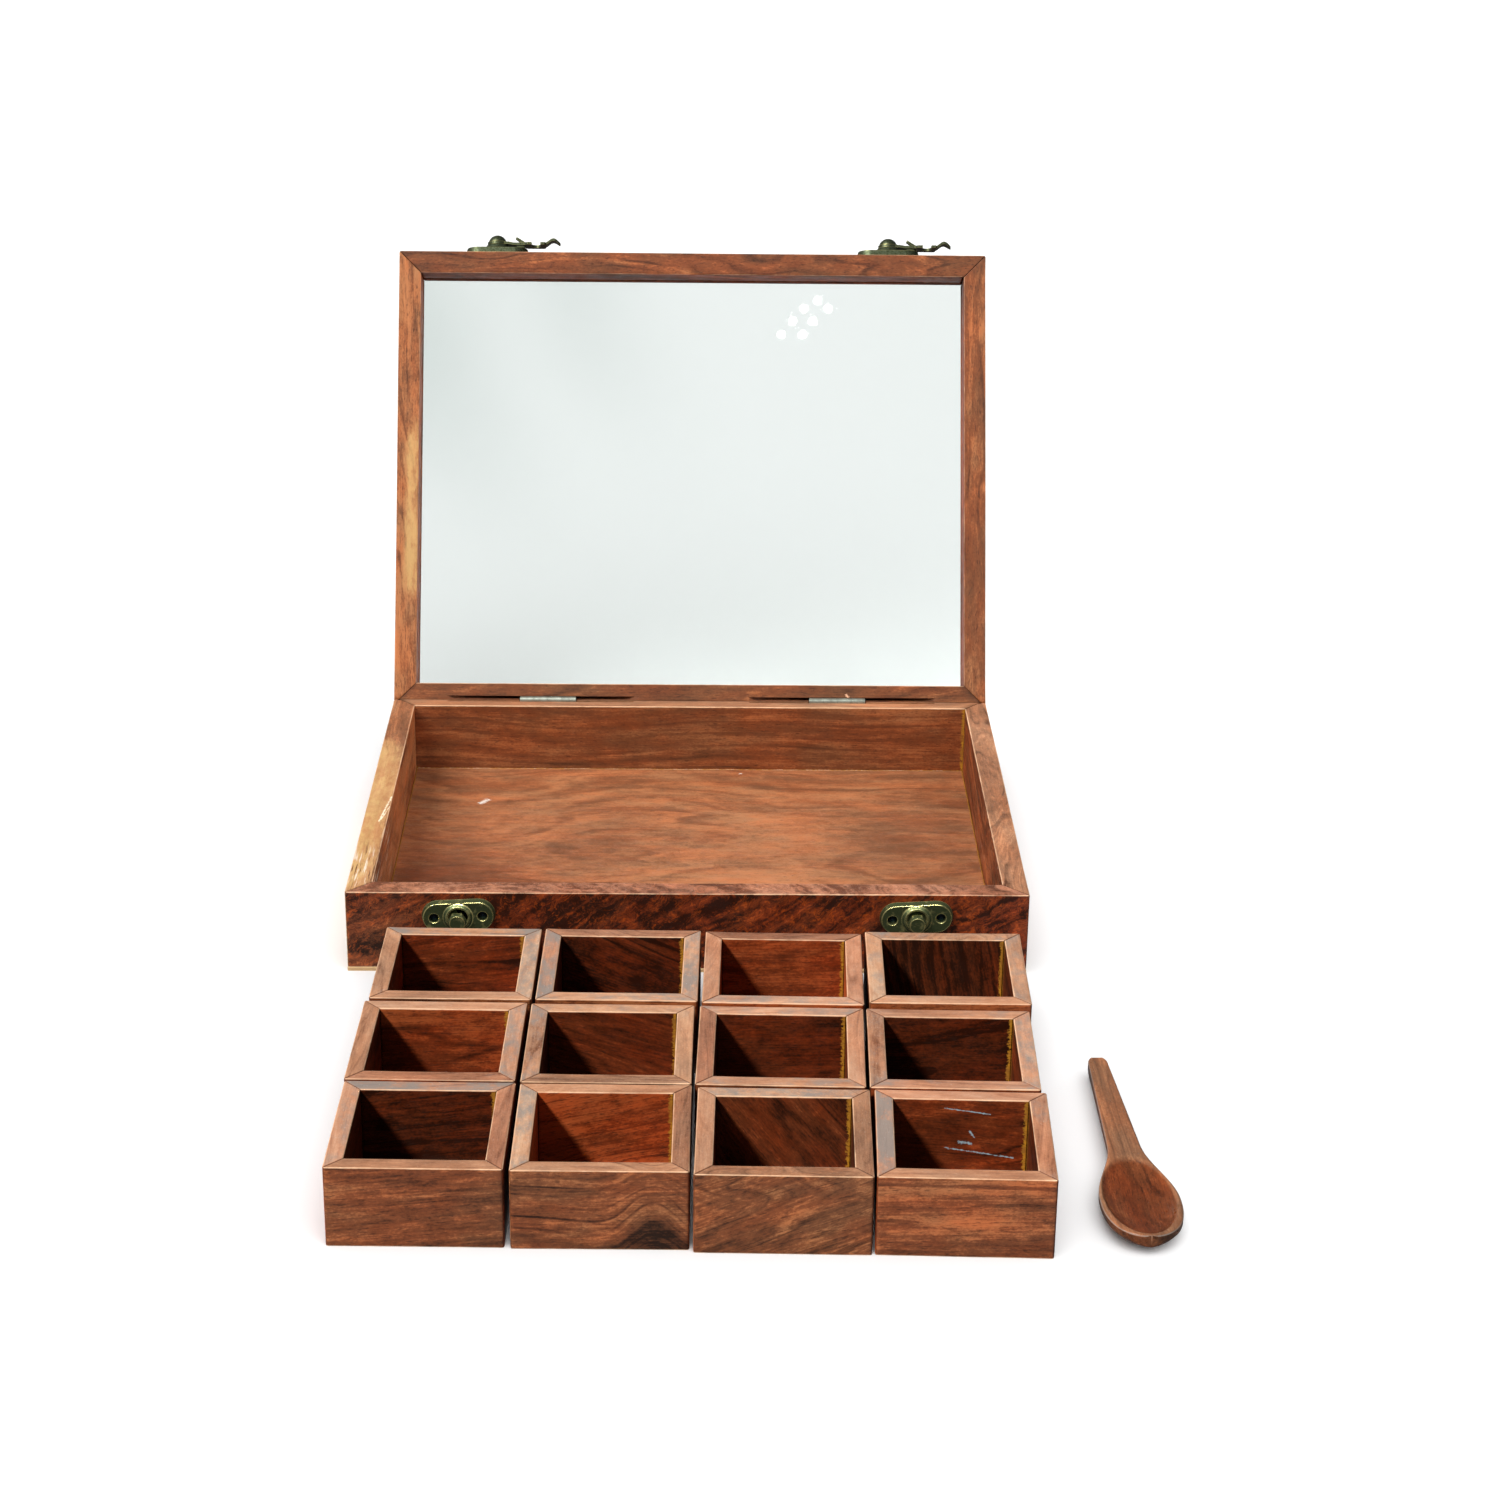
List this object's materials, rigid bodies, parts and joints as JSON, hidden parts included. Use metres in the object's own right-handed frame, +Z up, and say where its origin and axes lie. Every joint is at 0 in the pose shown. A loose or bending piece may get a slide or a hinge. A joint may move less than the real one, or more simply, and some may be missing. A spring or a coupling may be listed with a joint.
{
  "type": "tea bag organizer box",
  "caption": "Shallow mitred wooden box with a clear-paned hinged lid, swing-arm catches, loose square cups that fill it and a small spoon, open with its contents laid out in front.",
  "frame": {"origin": "middle of the box's underside, on the surface that it stands on", "axes": "+X to the right, +Y from the catches to the hinges, +Z up"},
  "size_m": [0.2866, 0.4961, 0.2123],
  "materials": {
    "rosewood": "oiled, satin",
    "cup_wood": "oiled, satin, dusty rims",
    "floor_wood": "sanded, thinly oiled",
    "spoon_wood": "sanded, thinly oiled",
    "plywood": "raw",
    "pane": "clear, polished",
    "old_brass": "antiqued, olive patina",
    "worn_brass": "antiqued, rubbed bright",
    "zinc": "zinc plated",
    "blued_steel": "blued"
  },
  "bodies": {
    "box": {"box_front_wall": "rosewood", "box_back_wall": "rosewood", "box_left_wall": "rosewood", "box_right_wall": "rosewood", "bottom_sheet": "plywood", "floor_board": "floor_wood", "hinge_left_lower_leaf": "zinc", "hinge_left_pin": "zinc", "hinge_right_lower_leaf": "zinc", "hinge_right_pin": "zinc", "hinge_brads_box": "blued_steel", "catch_left_plate": "old_brass", "catch_left_stud": "worn_brass", "catch_right_plate": "old_brass", "catch_right_stud": "worn_brass", "catch_nails": "blued_steel"},
    "lid": {"lid_front_rail": "rosewood", "lid_back_rail": "rosewood", "lid_left_rail": "rosewood", "lid_right_rail": "rosewood", "lid_pane": "pane", "hinge_left_upper_leaf": "zinc", "hinge_right_upper_leaf": "zinc", "hinge_brads_lid": "blued_steel", "latch_left_plate": "old_brass", "latch_left_rivet": "worn_brass", "latch_right_plate": "old_brass", "latch_right_rivet": "worn_brass", "latch_nails": "blued_steel"},
    "latch_left": {"latch_left_arm": "old_brass"},
    "latch_right": {"latch_right_arm": "old_brass"},
    "cup_01": {"cup_01_walls": "cup_wood", "cup_01_bottom": "cup_wood"},
    "cup_02": {"cup_02_walls": "cup_wood", "cup_02_bottom": "cup_wood"},
    "cup_03": {"cup_03_walls": "cup_wood", "cup_03_bottom": "cup_wood"},
    "cup_04": {"cup_04_walls": "cup_wood", "cup_04_bottom": "cup_wood"},
    "cup_05": {"cup_05_walls": "cup_wood", "cup_05_bottom": "cup_wood"},
    "cup_06": {"cup_06_walls": "cup_wood", "cup_06_bottom": "cup_wood"},
    "cup_07": {"cup_07_walls": "cup_wood", "cup_07_bottom": "cup_wood"},
    "cup_08": {"cup_08_walls": "cup_wood", "cup_08_bottom": "cup_wood"},
    "cup_09": {"cup_09_walls": "cup_wood", "cup_09_bottom": "cup_wood"},
    "cup_10": {"cup_10_walls": "cup_wood", "cup_10_bottom": "cup_wood"},
    "cup_11": {"cup_11_walls": "cup_wood", "cup_11_bottom": "cup_wood"},
    "cup_12": {"cup_12_walls": "cup_wood", "cup_12_bottom": "cup_wood"},
    "spoon": {"spoon": "spoon_wood"}
  },
  "joints": [
    {"name": "lid_hinge", "type": "hinge", "parent": "box", "child": "lid", "pos_m": [0, 0.096, 0.03265], "axis": [1, 0, 0], "range_deg": [0, 116]},
    {"name": "latch_left_pivot", "type": "hinge", "parent": "lid", "child": "latch_left", "pos_m": [-0.085, 0.18814, 0.20411], "axis": [0, 0.4384, 0.8988], "range_deg": [-90, 180]},
    {"name": "latch_right_pivot", "type": "hinge", "parent": "lid", "child": "latch_right", "pos_m": [0.085, 0.18814, 0.20411], "axis": [0, 0.4384, 0.8988], "range_deg": [-90, 180]},
    {"name": "cup_01_lift", "type": "slide", "parent": "box", "child": "cup_01", "axis": [0, 0, 1], "range_m": [0, 0.06]},
    {"name": "cup_02_lift", "type": "slide", "parent": "box", "child": "cup_02", "axis": [0, 0, 1], "range_m": [0, 0.06]},
    {"name": "cup_03_lift", "type": "slide", "parent": "box", "child": "cup_03", "axis": [0, 0, 1], "range_m": [0, 0.06]},
    {"name": "cup_04_lift", "type": "slide", "parent": "box", "child": "cup_04", "axis": [0, 0, 1], "range_m": [0, 0.06]},
    {"name": "cup_05_lift", "type": "slide", "parent": "box", "child": "cup_05", "axis": [0, 0, 1], "range_m": [0, 0.06]},
    {"name": "cup_06_lift", "type": "slide", "parent": "box", "child": "cup_06", "axis": [0, 0, 1], "range_m": [0, 0.06]},
    {"name": "cup_07_lift", "type": "slide", "parent": "box", "child": "cup_07", "axis": [0, 0, 1], "range_m": [0, 0.06]},
    {"name": "cup_08_lift", "type": "slide", "parent": "box", "child": "cup_08", "axis": [0, 0, 1], "range_m": [0, 0.06]},
    {"name": "cup_09_lift", "type": "slide", "parent": "box", "child": "cup_09", "axis": [0, 0, 1], "range_m": [0, 0.06]},
    {"name": "cup_10_lift", "type": "slide", "parent": "box", "child": "cup_10", "axis": [0, 0, 1], "range_m": [0, 0.06]},
    {"name": "cup_11_lift", "type": "slide", "parent": "box", "child": "cup_11", "axis": [0, 0, 1], "range_m": [0, 0.06]},
    {"name": "cup_12_lift", "type": "slide", "parent": "box", "child": "cup_12", "axis": [0, 0, 1], "range_m": [0, 0.06]},
    {"name": "spoon_lift", "type": "slide", "parent": "box", "child": "spoon", "axis": [0, 0, 1], "range_m": [0, 0.06]}
  ]
}
